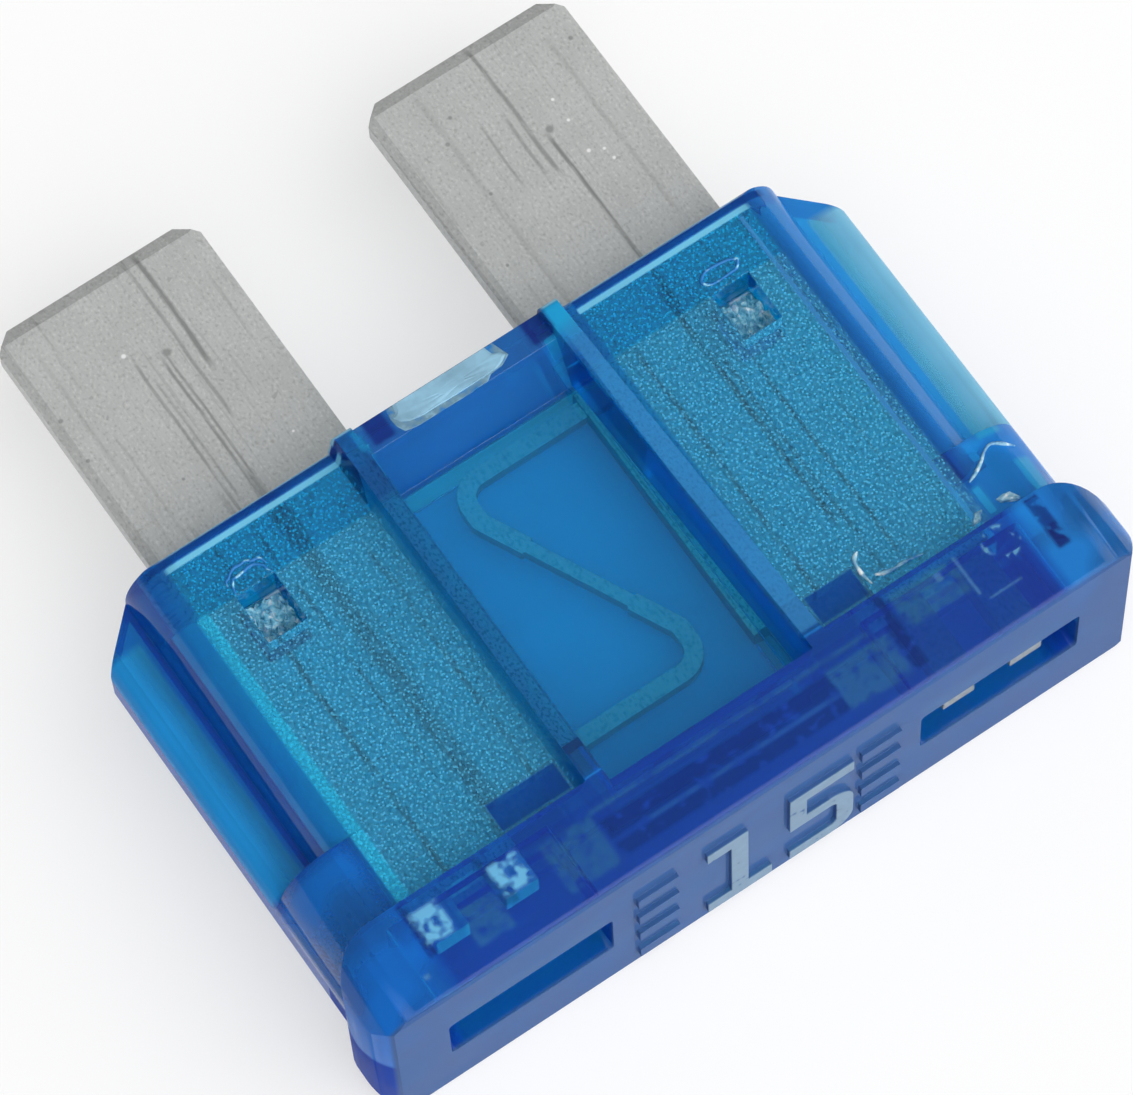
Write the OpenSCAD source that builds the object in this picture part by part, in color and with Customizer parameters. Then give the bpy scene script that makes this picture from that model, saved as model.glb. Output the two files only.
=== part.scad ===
// Blade fuse of the regular size: a clear moulded housing and the stamped
// metal element that it holds. It lies on one broad face, +Z up through its
// thickness, with the blades pointing along +Y. Inside the modules, Y counts
// from the end face of the head, and in_frame() moves it to the part's origin,
// in the middle of the area that the fuse covers.

/* [Blades] */
// Distance across both blades, outer edge to outer edge
blade_span = 14.5; // [12:0.1:18]
// Width of one blade
blade_w = 5.1; // [4.3:0.1:5.6]
// Thickness of the blades
blade_t = 0.65; // [0.5:0.01:0.8]
// Length of a blade outside the housing
blade_reach = 6.95; // [4:0.05:9]
// Cut corner of a blade tip, seen from the broad face
tip_corner = 0.45; // [0.1:0.05:1]
// Length of the coined bevel at a blade tip
tip_bevel_l = 0.35; // [0.1:0.05:0.8]
// Drop of the coined bevel, on each face
tip_bevel_drop = 0.18; // [0.05:0.01:0.22]
// Width of the bevel along the long edges of a blade
edge_bevel_w = 0.22; // [0.05:0.01:0.3]
// Drop of the edge bevel, on each face
edge_bevel_drop = 0.08; // [0.02:0.01:0.1]

/* [Link] */
// Width of the fuse link
link_w = 0.42; // [0.35:0.01:0.55]
// Thickness of the fuse link
link_t = 0.34; // [0.2:0.01:0.4]
// Width of the neck in the middle of the link
neck_w = 0.3; // [0.2:0.01:0.34]
// Length of the neck
neck_l = 2.5; // [1:0.1:3]
// Space between the outside of a bend and the blade beside it
bend_gap = 0.9; // [0.6:0.05:1.1]
// Radius of a bend at its middle line
bend_r = 0.55; // [0.3:0.05:0.66]
// Straight stretch between a bend and the slope of the link
bend_drop = 0.35; // [0.2:0.05:1.2]
// Distance from the blade end of the chamber to the middle of the link
link_end_gap = 0.3; // [0.26:0.02:0.8]

/* [Test prongs] */
// Width of one prong
prong_w = 0.8; // [0.5:0.05:0.95]
// Space between the outer prong and the outer edge of its blade
prong_edge = 0.15; // [0.05:0.05:0.3]
// Space between the two prongs of a blade
prong_gap = 0.9; // [0.5:0.05:1.1]
// Depth of the left prongs behind the end face
left_prong_depth = 1.55; // [0.1:0.05:1.7]
// Depth of the right prongs behind the end face
right_prong_depth = 0.25; // [0.1:0.05:1.7]
// Space between the end of the slots and the head edge of the blades
blade_head_gap = 0.15; // [0.05:0.05:0.4]
// Step from the head edge of a blade down to its link side
blade_step = 1.18; // [0.4:0.01:1.5]

/* [Head] */
// Length of the head along the blades
head_l = 2.25; // [1.85:0.05:3.5]
// Thickness of the head and of the window frame
head_t = 5.1; // [4.6:0.05:6.2]
// How far the head stands out past a flange
head_lip = 0.2; // [0.1:0.05:0.8]
// Radius of the head's front corners, seen from the broad face
head_front_r = 0.9; // [0.5:0.05:1]
// Radius of the head's back corners, seen from the broad face
head_back_r = 1.3; // [0.5:0.05:1.5]
// Shortest straight stretch between a front and a back corner
head_flat = 0.05; // [0.02:0.01:0.2]
// Radius of the head's edges at its two ends
head_side_r = 1; // [0.2:0.05:1.5]
// Radius of the edge around the end face
head_edge_r = 0.14; // [0.1:0.02:0.5]

/* [Body] */
// Length of the housing behind the head
body_l = 9.3; // [7.7:0.05:12]
// Depth of the panels over the blades below the head and the window frame
panel_drop = 0.62; // [0.4:0.02:0.8]
// Plastic beside the outer edge of a blade
side_wall = 0.95; // [0.7:0.05:1.6]
// Radius of the body's long edges
body_edge_r = 1.15; // [0.3:0.05:1.3]
// Radius of the edges around the blade end of the body and the ribs
end_edge_r = 0.2; // [0.05:0.01:0.3]
// Wall that closes the chamber at the blade end
end_wall = 1.35; // [0.9:0.05:1.6]
// Width of a flange beside the body
flange_reach = 1.1; // [0.6:0.05:1.6]
// Thickness of a flange
flange_t = 1.5; // [0.8:0.05:2]
// Cut corner of a flange at the blade end
flange_corner = 1.1; // [0.4:0.05:1.5]
// Radius of the flange edge
flange_edge_r = 0.35; // [0.1:0.05:0.4]
// Length of the round shoulder under the head
shoulder_l = 1.95; // [1:0.05:3]
// Radius of the shoulder's long edges
shoulder_r = 1.25; // [0.5:0.05:1.5]
// How far a shoulder sits in from the edge of a flange
shoulder_in = 0.12; // [0.08:0.01:0.3]

/* [Window] */
// Half width of the window pocket at the top of its frame
window_half_w = 2.5; // [2.2:0.05:3]
// Draft of the pocket's side walls
window_draft = 0.12; // [0.02:0.01:0.25]
// Thickness of the plastic between the pocket floor and the link chamber
window_floor_t = 0.55; // [0.3:0.05:0.7]
// How far the pocket reaches into the head
window_into_head = 0.25; // [0.1:0.05:0.8]
// Length of the ramp at the blade end of the pocket
window_ramp_l = 0.65; // [0.3:0.05:0.85]
// Depth of the cross bar at the blade end below the frame
bar_drop = 0.34; // [0.3:0.02:0.62]
// Width of the top of a frame rib
rib_top_w = 0.42; // [0.3:0.01:0.8]
// Draft on the outside of a frame rib
rib_draft = 0.15; // [0.02:0.01:0.3]
// Angle that brings the right rib towards the middle at the blade end
right_rib_lean = 1.8; // [0:0.1:2.4]

/* [Chamber and slots] */
// Clearance between the metal and the plastic, in thickness
metal_gap_t = 0.04; // [0.02:0.01:0.1]
// Clearance between the metal and the plastic, in width
metal_gap_w = 0.1; // [0.05:0.01:0.2]
// Clearance of a blade in the slit of the end wall
slit_gap = 0.03; // [0.01:0.01:0.08]
// Clearance over the link in its chamber
chamber_gap = 0.33; // [0.2:0.01:0.45]
// Width of a test slot
slot_w = 4; // [3.5:0.05:4.8]
// Space over and under a blade in its test slot
slot_gap = 0.48; // [0.3:0.02:0.8]
// Space between the outer end of a test slot and the outer edge of its blade
slot_past = 0.6; // [0.2:0.05:0.8]
// Radius of the slot corners
slot_r = 0.12; // [0.05:0.01:0.3]

/* [Stakes] */
// Width of a stake and of the punch mark over it
stake_w = 0.95; // [0.6:0.05:1.2]
// Length of a stake
stake_l = 1.25; // [0.8:0.05:1.6]
// Depth of the punch mark
stake_pit = 0.9; // [0.3:0.05:1.1]
// Clearance between a stake and the hole in the blade
stake_gap = 0.04; // [0.02:0.01:0.1]
// Distance from the outer edge of the blade to the middle of the stake
stake_in = 1.3; // [1:0.05:1.8]
// Distance from the blade end of the chamber to the middle of the stake
stake_back = 0.9; // [0.85:0.05:2]

/* [Figures] */
// Height of the figures on the end face
figure_h = 3.3; // [2.5:0.1:3.9]
// Width of one figure
figure_w = 1.6; // [1.2:0.1:1.9]
// Width of a stroke
stroke = 0.42; // [0.25:0.01:0.5]
// Height of the lower part of the five
belly_h = 2; // [1.4:0.05:2.2]
// Outer radius of the bends of the five
belly_r = 0.6; // [0.51:0.01:0.7]
// Space between the figures
figure_gap = 0.45; // [0.3:0.05:0.6]
// How far the figures stand out of the end face
figure_rise = 0.12; // [0.05:0.01:0.2]
// Distance that the figures sit below the middle of the end face
figure_drop = 0.4; // [0:0.05:0.45]
// How far the pair of figures sits to the right of the middle
figures_right = 0.25; // [0:0.05:0.4]
// Width of the plain bars beside the figures
bar_w = 1; // [0.5:0.05:1.2]
// Space between the bars and the figures
bar_gap = 0.45; // [0.4:0.05:0.6]
// Number of plain bars on each side
bar_count = 4; // [2:1:4]

/* [Hidden] */
$fn = 64;
// how far a cut runs past the face that it opens, and a part into its neighbour
past = 0.5;

mid_t = head_t / 2;
housing_l = head_l + body_l;
fuse_l = housing_l + blade_reach;
chamber_end = housing_l - end_wall;

// places across the fuse, from its middle line
blade_out = blade_span / 2;
blade_in = blade_out - blade_w;
body_half = blade_out + side_wall;
flange_half = body_half + flange_reach;
head_half = flange_half + head_lip;
floor_half_w = window_half_w - window_draft;
rib_out = window_half_w + rib_top_w;
prong_out = blade_out - prong_edge;
prong_in = prong_out - 2 * prong_w - prong_gap;
slot_mid = blade_out + slot_past - slot_w / 2;
stake_x = blade_out - stake_in;

// heights above and below the middle plane
body_half_t = mid_t - panel_drop;
cross_half_t = mid_t - bar_drop;
blade_half_t = blade_t / 2;
chamber_half_t = link_t / 2 + chamber_gap;
floor_half_t = chamber_half_t + window_floor_t;
slot_t = blade_t + 2 * slot_gap;

// places along the fuse, from the end face
blade_head = head_l + blade_head_gap;
blade_link_side = blade_head + blade_step;
stake_y = chamber_end - stake_back;
link_top = chamber_end - link_end_gap;
link_low = blade_link_side + link_w / 2;
link_rise = (link_top - link_low) / 2;
bend_x = blade_in - bend_gap - link_w / 2;
slope_y = link_rise - bend_r - bend_drop;
slope_l = norm([bend_x, slope_y]);
slope_turn = atan2(-slope_y, bend_x);

figures_w = 2 * figure_w + figure_gap;
figure_low = -figure_h / 2 - figure_drop;
bar_step = (figure_h - stroke) / (bar_count - 1);

module in_frame() {
    translate([0, (figure_rise - fuse_l) / 2, 0]) children();
}

// a drawing in X and Z about the middle plane, run from y0 to y1
module along_y(y0, y1) {
    translate([0, y1, mid_t]) rotate([90, 0, 0]) linear_extrude(y1 - y0) children();
}

// a drawing in Y and Z about the middle plane, run from -half to half
module along_x(half) {
    translate([-half, 0, mid_t]) rotate([90, 0, 90]) linear_extrude(2 * half) children();
}

// a drawing in X and Y, run through a thickness about the middle plane
module through(t) {
    translate([0, 0, mid_t - t / 2]) linear_extrude(t) children();
}

module both_sides() {
    children();
    mirror([1, 0, 0]) children();
}

module both_faces() {
    children();
    translate([0, 0, head_t]) mirror([0, 0, 1]) children();
}

module area(x0, x1, y0, y1) {
    translate([x0, y0]) square([x1 - x0, y1 - y0]);
}

module rounded_area(w, h, r) {
    square([w - 2 * r, h], center = true);
    square([w, h - 2 * r], center = true);
    for (sx = [-1, 1], sy = [-1, 1])
        translate([sx * (w / 2 - r), sy * (h / 2 - r)]) circle(r = r);
}

// a quarter of a ring, from turn to turn + 90 degrees
module elbow(outer_r, w, turn) {
    rotate(turn) intersection() {
        difference() {
            circle(r = outer_r);
            circle(r = outer_r - w);
        }
        square(outer_r);
    }
}

// ---- housing: one moulding ----

module head_plan() {
    front_r = min(head_front_r, (head_l - head_flat) / 2);
    back_r = min(head_back_r, head_l - head_flat - front_r);
    area(front_r - head_half, head_half - front_r, 0, front_r);
    area(-head_half, head_half, front_r, head_l - back_r);
    area(back_r - head_half, head_half - back_r, head_l - back_r, head_l);
    both_sides() {
        translate([head_half - front_r, front_r]) circle(r = front_r);
        translate([head_half - back_r, head_l - back_r]) circle(r = back_r);
    }
}

module head() {
    intersection() {
        through(head_t) head_plan();
        along_y(0, head_l) rounded_area(2 * head_half, head_t, head_side_r);
        along_x(head_half) translate([head_l, 0]) rounded_area(2 * head_l, head_t, head_edge_r);
    }
}

module body() {
    intersection() {
        along_y(head_l / 2, housing_l) rounded_area(2 * body_half, 2 * body_half_t, body_edge_r);
        along_x(body_half) rounded_area(2 * housing_l, 2 * body_half_t, end_edge_r);
    }
    along_y(chamber_end, housing_l) area(-window_half_w, window_half_w, -cross_half_t, cross_half_t);
}

module shoulders() {
    along_y(head_l / 2, head_l + shoulder_l)
        rounded_area(2 * (flange_half - shoulder_in), 2 * body_half_t, shoulder_r);
}

module flanges() {
    intersection() {
        along_y(head_l / 2, housing_l) rounded_area(2 * flange_half, flange_t, flange_edge_r);
        through(flange_t) both_sides() polygon([
            [0, 0],
            [flange_half, 0],
            [flange_half, housing_l - flange_corner],
            [flange_half - flange_corner, housing_l],
            [0, housing_l]
        ]);
    }
}

// turned about the middle line at the head's back face
module leaning() {
    translate([0, head_l]) rotate(right_rib_lean) translate([0, -head_l]) children();
}

module rib() {
    along_y(head_l / 2, housing_l + past) polygon([
        [floor_half_w, -mid_t],
        [rib_out, -mid_t],
        [rib_out + rib_draft, -body_half_t],
        [rib_out + rib_draft, body_half_t],
        [rib_out, mid_t],
        [floor_half_w, mid_t]
    ]);
}

// two ribs on each broad face, flush with the head
module window_frame() {
    intersection() {
        union() {
            leaning() rib();
            mirror([1, 0, 0]) rib();
        }
        along_x(body_half) rounded_area(2 * housing_l, head_t, end_edge_r);
    }
}

module half_pocket() {
    along_y(0, housing_l + 2 * past) polygon([
        [-past, 0],
        [floor_half_w, 0],
        [floor_half_w, floor_half_t],
        [window_half_w, mid_t],
        [window_half_w, mid_t + past],
        [-past, mid_t + past]
    ]);
}

// a flat floor over the link, with a ramp up to the end wall
module window_pockets() {
    both_faces() intersection() {
        along_x(window_half_w + past) polygon([
            [head_l - window_into_head, mid_t + past],
            [head_l - window_into_head, floor_half_t],
            [chamber_end, floor_half_t],
            [chamber_end + window_ramp_l, cross_half_t],
            [housing_l + past, cross_half_t],
            [housing_l + past, mid_t + past]
        ]);
        union() {
            leaning() half_pocket();
            mirror([1, 0, 0]) half_pocket();
        }
    }
}

module stake_plan(gap) {
    both_sides() translate([stake_x, stake_y])
        square([stake_w + 2 * gap, stake_l + 2 * gap], center = true);
}

// the flat space for the blades, less the stakes that lock them, the slits
// that the blades leave by, and the higher chamber around the link
module metal_space() {
    blade_space = blade_out + metal_gap_w;
    link_space = blade_in + metal_gap_w;
    through(blade_t + 2 * metal_gap_t) difference() {
        area(-blade_space, blade_space, head_l - past, chamber_end);
        stake_plan(0);
    }
    through(blade_t + 2 * slit_gap) both_sides()
        area(blade_in - slit_gap, blade_out + slit_gap, chamber_end - past, housing_l + past);
    through(2 * chamber_half_t) area(-link_space, link_space, head_l, chamber_end);
}

module test_slots() {
    both_sides() translate([slot_mid, 0, 0])
        along_y(-past, head_l) rounded_area(slot_w, slot_t, slot_r);
}

module punch_marks() {
    translate([0, 0, mid_t + body_half_t - stake_pit])
        linear_extrude(stake_pit + past) stake_plan(0);
}

module figure_one() {
    area(0, figure_w, 0, stroke);
    area((figure_w - stroke) / 2, (figure_w + stroke) / 2, 0, figure_h);
    area(0, figure_w / 2, figure_h - stroke, figure_h);
}

module figure_five() {
    area(0, figure_w, figure_h - stroke, figure_h);
    area(0, stroke, belly_h - stroke, figure_h);
    area(0, figure_w - belly_r, belly_h - stroke, belly_h);
    translate([figure_w - belly_r, belly_h - belly_r]) elbow(belly_r, stroke, 0);
    area(figure_w - stroke, figure_w, belly_r, belly_h - belly_r);
    translate([figure_w - belly_r, belly_r]) elbow(belly_r, stroke, -90);
    area(0, figure_w - belly_r, 0, stroke);
}

// the raised rating, with a group of plain bars on each side of it
module figures() {
    along_y(-figure_rise, past) {
        translate([figures_right - figures_w / 2, figure_low]) figure_one();
        translate([figures_right + figures_w / 2 - figure_w, figure_low]) figure_five();
        both_sides() for (i = [0 : bar_count - 1])
            translate([figures_w / 2 + bar_gap, figure_low + i * bar_step]) square([bar_w, stroke]);
    }
}

module housing() {
    color("royalblue", 0.7) in_frame() difference() {
        union() {
            head();
            body();
            shoulders();
            flanges();
            window_frame();
            figures();
        }
        window_pockets();
        metal_space();
        test_slots();
        punch_marks();
    }
}

// ---- fuse element: one stamping ----

module blade_plan(prong_depth) {
    difference() {
        union() {
            polygon([
                [blade_in, blade_link_side],
                [prong_in, blade_link_side],
                [prong_in, blade_head],
                [blade_out, blade_head],
                [blade_out, fuse_l - tip_corner],
                [blade_out - tip_corner, fuse_l],
                [blade_in + tip_corner, fuse_l],
                [blade_in, fuse_l - tip_corner]
            ]);
            area(prong_in, prong_in + prong_w, prong_depth, blade_link_side);
            area(prong_out - prong_w, prong_out, prong_depth, blade_link_side);
        }
        stake_plan(stake_gap);
    }
}

// a blade section with bevelled long edges, and a side view with a bevelled tip
module blade(prong_depth) {
    edge_t = blade_half_t - edge_bevel_drop;
    tip_t = blade_half_t - tip_bevel_drop;
    intersection() {
        through(blade_t) blade_plan(prong_depth);
        along_y(0, fuse_l) polygon([
            [blade_in, -edge_t],
            [blade_in + edge_bevel_w, -blade_half_t],
            [blade_out - edge_bevel_w, -blade_half_t],
            [blade_out, -edge_t],
            [blade_out, edge_t],
            [blade_out - edge_bevel_w, blade_half_t],
            [blade_in + edge_bevel_w, blade_half_t],
            [blade_in, edge_t]
        ]);
        along_x(blade_out) polygon([
            [0, -blade_half_t],
            [fuse_l - tip_bevel_l, -blade_half_t],
            [fuse_l, -tip_t],
            [fuse_l, tip_t],
            [fuse_l - tip_bevel_l, blade_half_t],
            [0, blade_half_t]
        ]);
    }
}

// half of the link: out of the right blade, round its bend and down the slope
// to the neck
module half_link() {
    bend_mid = bend_r - bend_x;
    half_w = link_w / 2;
    area(bend_mid, blade_in + edge_bevel_w, link_rise - half_w, link_rise + half_w);
    translate([bend_mid, link_rise - bend_r]) elbow(bend_r + half_w, link_w, 90);
    area(-bend_x - half_w, half_w - bend_x, slope_y, link_rise - bend_r);
    translate([-bend_x, slope_y]) {
        circle(r = half_w);
        rotate(slope_turn) area(0, slope_l - neck_l / 2, -half_w, half_w);
    }
}

module link() {
    through(link_t) translate([0, link_low + link_rise]) {
        half_link();
        rotate(180) half_link();
        rotate(slope_turn) square([neck_l + past, neck_w], center = true);
    }
}

module fuse_element() {
    color("silver") in_frame() {
        blade(right_prong_depth);
        mirror([1, 0, 0]) blade(left_prong_depth);
        link();
    }
}

housing();
fuse_element();
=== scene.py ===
import math
import random

import bmesh
import bpy
from mathutils import Matrix, Vector


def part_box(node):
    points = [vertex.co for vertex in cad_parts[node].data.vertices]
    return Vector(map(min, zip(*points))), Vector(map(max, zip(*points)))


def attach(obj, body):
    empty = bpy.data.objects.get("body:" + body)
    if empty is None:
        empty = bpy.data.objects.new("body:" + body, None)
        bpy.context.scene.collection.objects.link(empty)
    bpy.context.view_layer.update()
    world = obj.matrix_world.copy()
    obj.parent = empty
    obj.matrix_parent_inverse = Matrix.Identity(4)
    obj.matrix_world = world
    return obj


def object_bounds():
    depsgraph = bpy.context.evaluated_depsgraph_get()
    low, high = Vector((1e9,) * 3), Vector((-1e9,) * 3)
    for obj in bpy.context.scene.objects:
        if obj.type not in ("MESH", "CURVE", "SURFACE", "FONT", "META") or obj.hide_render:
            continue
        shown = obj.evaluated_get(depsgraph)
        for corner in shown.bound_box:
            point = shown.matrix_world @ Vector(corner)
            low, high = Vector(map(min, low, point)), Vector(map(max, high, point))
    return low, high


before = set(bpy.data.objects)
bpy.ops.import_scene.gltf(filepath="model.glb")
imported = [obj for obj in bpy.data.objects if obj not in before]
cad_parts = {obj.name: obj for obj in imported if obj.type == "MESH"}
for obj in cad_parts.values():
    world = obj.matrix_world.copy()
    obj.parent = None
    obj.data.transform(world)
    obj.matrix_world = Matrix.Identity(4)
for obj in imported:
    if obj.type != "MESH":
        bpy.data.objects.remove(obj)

bl_info = {
    "name": "Blade fuse",
    "version": (1, 0, 0),
    "blender": (4, 5, 0),
    "location": "3D View > Sidebar > Blade Fuse",
    "description": "Finishes the moulded housing and the fuse element, and sets the studio around them",
    "category": "Object",
}

MM = 0.001
CAD_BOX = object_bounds()
HOUSING_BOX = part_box("housing")
FIGURE_RISE = 0.12        # mm the figures stand proud of the head's end face
END_FACE = HOUSING_BOX[0].y + FIGURE_RISE * MM
MID_T = (HOUSING_BOX[0].z + HOUSING_BOX[1].z) / 2 / MM
STAKE_X = 5.95            # mm from the middle line to the middle of a punch mark
STAKE_Y = 9.3             # mm from the end face to the same place
SOFT_BOX = Vector((0.27, -0.70, 0.66)).normalized()   # towards the middle of the soft light
PANEL_TOP = MID_T + 1.93  # mm, the panels over the blades
BAR_TOP = MID_T + 2.21    # mm, the cross bar at the blade end of the window
HOUSING_TOP = HOUSING_BOX[1].z / MM
PIT_FLOOR = PANEL_TOP - 0.9
HOUSING_END = HOUSING_BOX[1].y / MM - END_FACE / MM
FLOOR_GAP = 0.02 * MM     # between the floor and the resting face

# All places below are in millimetres: across from the middle line, along from the head's end face,
# and up from the resting face.

# lengthwise roller marks on the strip: across, from, to, half the width, how dark
ROLL_MARKS = (
    (-6.06, 10.5, 12.4, 0.05, 0.45), (-6.25, 11.0, 15.0, 0.03, 0.25), (-5.15, 10.3, 12.6, 0.06, 0.40),
    (-5.00, 11.6, 16.2, 0.035, 0.60), (-4.85, 12.4, 15.6, 0.03, 0.45), (-4.47, 10.4, 11.7, 0.19, 1.0),
    (-4.40, 11.6, 12.8, 0.10, 0.6), (-4.46, 12.2, 15.9, 0.035, 0.70), (-4.33, 12.5, 16.2, 0.03, 0.65),
    (-3.95, 14.0, 18.4, 0.04, 0.55),
    (-3.66, 15.3, 18.4, 0.06, 0.80), (-4.50, 2.6, 10.4, 0.20, 0.42), (-5.05, 4.6, 9.8, 0.05, 0.35),
    (-6.05, 2.6, 9.4, 0.07, 0.42), (-3.40, 3.4, 9.6, 0.06, 0.35), (-6.60, 12.0, 17.5, 0.05, 0.20),
    (4.10, 15.0, 16.6, 0.03, 0.45), (4.65, 14.9, 16.5, 0.04, 0.50), (4.90, 14.8, 18.4, 0.05, 0.65),
    (5.20, 11.6, 15.6, 0.045, 0.85), (5.02, 10.4, 11.7, 0.06, 0.75), (6.25, 10.3, 11.6, 0.04, 0.50),
    (4.90, 4.6, 11.0, 0.07, 0.50), (5.10, 3.0, 9.0, 0.06, 0.35), (5.60, 3.2, 8.6, 0.05, 0.42),
    (3.35, 12.0, 18.0, 0.06, 0.25), (6.45, 12.6, 17.6, 0.05, 0.25), (3.70, 3.2, 10.2, 0.06, 0.42),
)
# small dark pits and bright specks on the blades: across, along, radius
PITS = (
    (-4.30, 16.05, 0.13), (-7.00, 16.0, 0.07), (-7.02, 14.9, 0.06), (-5.60, 13.4, 0.05),
    (5.30, 15.75, 0.12), (3.30, 16.7, 0.07), (3.70, 17.2, 0.06), (6.90, 17.3, 0.07),
    (3.40, 15.2, 0.06), (2.75, 13.6, 0.05),
)
SPECKS = (
    (-5.10, 16.5, 0.07), (5.75, 16.3, 0.05), (5.75, 15.7, 0.05), (5.70, 14.85, 0.06),
    (6.00, 14.7, 0.05), (6.05, 14.4, 0.05), (-3.10, 13.0, 0.04),
)

# paler, darker and brightest patches painted on the head's top as the light, shade and highlights seen
# inside it from above: across from, to, along from, to
HEAD_LIT_PATCHES = (
    (-6.65, -5.80, 0.50, 1.40), (-4.50, -3.30, 0.40, 1.60), (2.40, 3.90, 0.40, 1.40),
    (4.40, 5.90, 1.20, 2.05), (-3.30, 3.60, 1.58, 1.66), (-2.30, 2.30, 0.83, 0.87),
)
HEAD_SHADE_PATCHES = (
    (-7.60, -7.40, 0.90, 2.20), (-5.80, -5.40, 0.90, 2.20), (7.90, 8.20, 0.90, 2.20),
    (-3.20, 3.30, 0.45, 0.80), (-3.20, 3.30, 0.90, 1.38), (3.95, 4.30, 0.40, 2.20),
)
HEAD_HIGHLIGHTS = (
    (5.95, 6.03, 1.00, 2.00), (6.10, 6.90, 0.80, 0.85), (5.42, 5.58, 1.70, 1.90),
    (-7.95, -7.82, 0.55, 0.66),
)
# the same for the painted shade where the strip stops short under the panels' head ends, the chips on the
# right shoulder, and the painted glints over the left prongs
NOTCHES = ((-4.80, -3.12, 2.50, 3.18), (3.12, 4.30, 2.50, 3.20))
CHIPS = ((7.33, 7.55, 2.50, 3.22), (8.50, 8.85, 2.40, 3.30), (8.15, 8.70, 4.05, 4.25))
GLINTS = ((-7.50, -6.82, 1.10, 1.90), (-5.65, -4.92, 1.10, 1.85))
EJECTOR = (7.0, 1.7, 0.35)    # the ejector pin's ring on the head: across, along, radius

CRUMB_BED = (0.45, 0.55)      # half the width and half the length of the crushed bed in a punch mark
# torn ridges past the punch marks: how far past, and how far they reach
TORN_ARCS = ((0.00, 0.36), (0.26, 0.25))
TORN_RING = ((0.10, 0.42),)
RIDGE_POINTS = 11
# outlines and paths of the marks: across and along, and up for the crest
GATE_EDGE = HOUSING_END - 0.015
GATE_SCAR = (
    (-1.46, GATE_EDGE), (-1.50, 11.36), (-1.60, 11.27), (-1.52, 11.13), (-1.36, 11.03),
    (-1.10, 10.985), (-0.60, 10.975), (0.0, 10.97), (0.50, 10.98), (0.82, 10.99), (0.98, 11.05),
    (1.12, 11.15), (1.04, 11.26), (0.90, 11.33), (0.84, GATE_EDGE),
)
GATE_SKIRT = (
    (-1.62, GATE_EDGE), (-1.66, 11.30), (-1.64, 11.08), (-1.55, 10.90), (-1.30, 10.845),
    (-0.60, 10.84), (0.10, 10.835), (0.50, 10.86), (0.62, 10.95), (0.95, 10.99), (1.18, 11.12),
    (1.12, 11.30), (1.04, GATE_EDGE),
)
FLASH_HOOK = ((4.62, 3.42), (4.50, 3.36), (4.42, 3.22), (4.41, 3.00), (4.43, 2.82), (4.46, 2.66))
FLASH_BEAD = ((4.60, 2.79), (4.78, 2.72), (5.00, 2.66), (5.22, 2.68), (5.45, 2.65), (5.70, 2.60))
FLASH_CREST = (
    (7.42, 3.36, 4.49), (7.62, 3.44, 4.49), (7.90, 3.60, 4.485), (8.12, 3.80, 4.465),
    (8.32, 3.85, 4.425), (8.52, 3.74, 4.34), (8.76, 3.60, 4.175),
)
FLASH_FLAKES = (
    ((6.90, 2.50), (7.12, 2.53), (7.28, 2.72), (7.10, 2.74), (6.98, 2.62)),
    ((7.64, 2.74), (7.68, 2.62), (7.86, 2.53), (8.06, 2.44), (8.10, 2.50), (7.98, 2.72), (7.82, 2.76)),
)

# regions of the moulding: share of the light scattered back, and its colour
COATS = {
    # painted shade where the strip stops short under the panels
    "notch": (0.50, (0.006, 0.07, 0.45)),
    "bar": (0.45, (0.03, 0.19, 0.60)),
    "lip": (0.75, (0.03, 0.36, 0.88)),
    # painted highlight
    "edge highlight": (0.45, (0.08, 0.40, 0.82)),
    "pane": (0.22, (0.02, 0.42, 0.95)),
    # painted shade, painted light and painted highlights on the head's top; the pin ring among them is a
    # real mark
    "head shade patch": (0.55, (0.008, 0.035, 0.24)),
    "head lit patch": (0.22, (0.05, 0.30, 0.72)),
    "head highlight and pin ring": (0.45, (0.20, 0.55, 0.85)),
    "chip": (0.50, (0.04, 0.50, 0.92)),
    "glint": (0.75, (0.18, 0.55, 0.85)),
    # painted highlight lines either side of a painted shade line, along the blade end's edge
    "near highlight line": (0.78, (0.20, 0.62, 0.86)),
    "navy shade line": (0.75, (0.006, 0.045, 0.27)),
    "far highlight line": (0.78, (0.40, 0.70, 0.84)),
    # painted highlight on the right rib's end
    "rib end": (0.60, (0.02, 0.44, 0.80)),
    "left rib end": (0.50, (0.02, 0.30, 0.66)),
    # painted highlight on the caps at the ribs' ends
    "rib cap highlight": (0.75, (0.33, 0.70, 0.88)),
    "beside gate": (0.65, (0.012, 0.025, 0.22)),
}
FROST_PAST_METAL = (0.02, 0.48, 0.92)   # the panels where no metal lies under them
# painted highlight along the left panel's outer edge, over the left blade's outer edge
LEFT_RIM_HIGHLIGHT = (0.05, 0.66, 1.0)          # the left panel's outer edge
# the long right side, painted paler than the left as lit from the right
RIGHT_SIDE_LIT = (0.035, 0.30, 0.84)
# pairs of colours: the head's middle and its outer ends, then left and right, with the right ones painted
# paler as lit from the right
HEAD_TONES = (0.008, 0.075, 0.60), (0.006, 0.055, 0.40)
FLANGE_TONES_LIT_RIGHT = (0.02, 0.33, 0.80), (0.24, 0.58, 0.80)
SHOULDER_TONES_LIT_RIGHT = (0.010, 0.20, 0.76), (0.02, 0.28, 0.84)
RIB_TONES_LIT_RIGHT = (0.01, 0.14, 0.62), (0.06, 0.34, 0.80)
CRUSHED_TONES = (0.06, 0.28, 0.44), (0.72, 0.88, 0.94)   # crushed plastic, dark and white

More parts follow.
